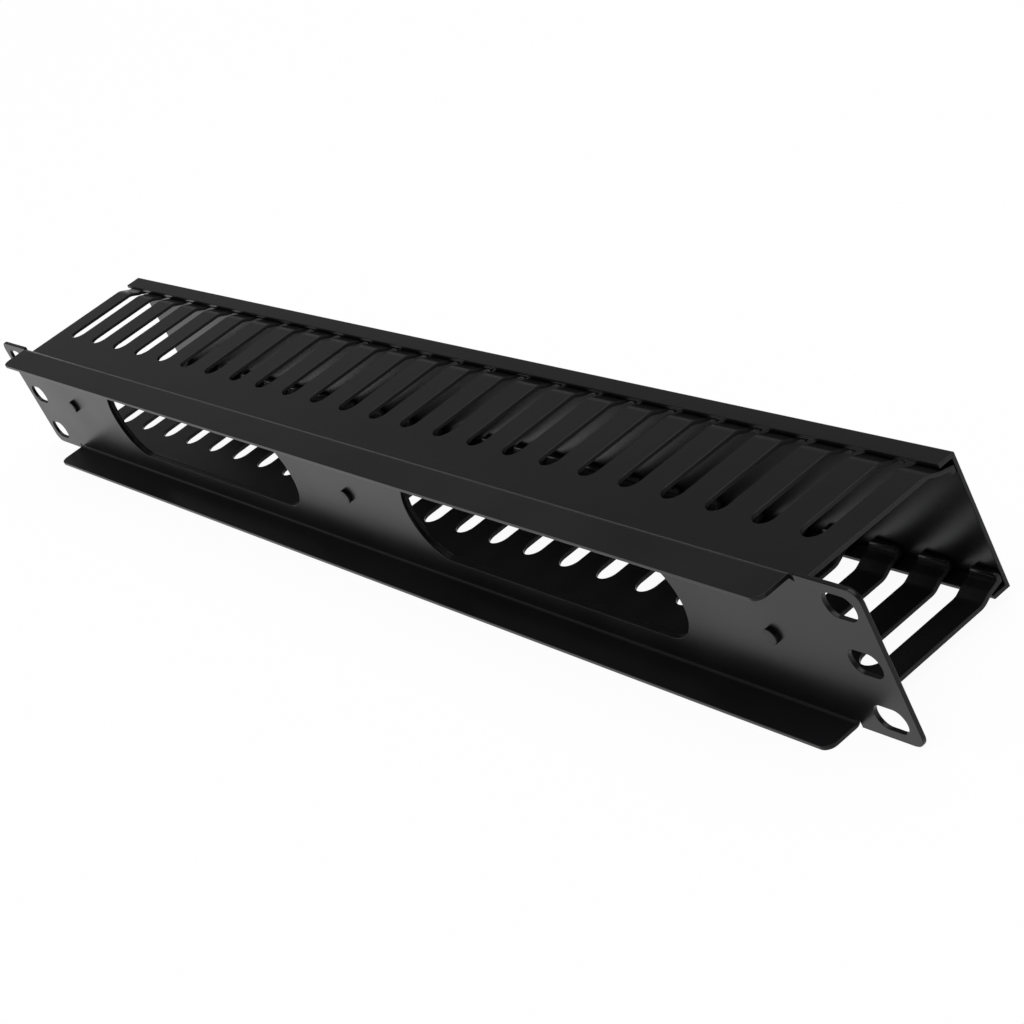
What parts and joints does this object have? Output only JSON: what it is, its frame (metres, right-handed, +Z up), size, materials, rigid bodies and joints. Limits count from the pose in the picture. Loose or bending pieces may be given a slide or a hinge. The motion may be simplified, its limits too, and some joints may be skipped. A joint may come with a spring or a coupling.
{
  "type": "horizontal cable manager",
  "caption": "One-unit horizontal cable manager: extruded finger duct with open slots, riveted to a folded 19-inch rear panel and closed by a pull-off front cover.",
  "frame": {"origin": "middle of the rack hole pattern, on the rear face of the ears, which seats on the rack's rails", "axes": "+X along the rack's width, +Y to the rear, through the holes, +Z up"},
  "size_m": [0.4826, 0.0614, 0.044],
  "materials": {
    "black_powder_coat": "semi-gloss black powder coat",
    "black_pvc": "extruded rigid PVC, satin black",
    "black_rivets": "semi-gloss black"
  },
  "bodies": {
    "duct": {"rear_panel": "black_powder_coat", "finger_duct": "black_pvc", "rivets": "black_rivets"},
    "cover": {"cover": "black_pvc"}
  },
  "joints": [
    {"name": "cover_pull_off", "type": "slide", "parent": "duct", "child": "cover", "axis": [0, -1, 0], "range_m": [0, 0.03]}
  ]
}
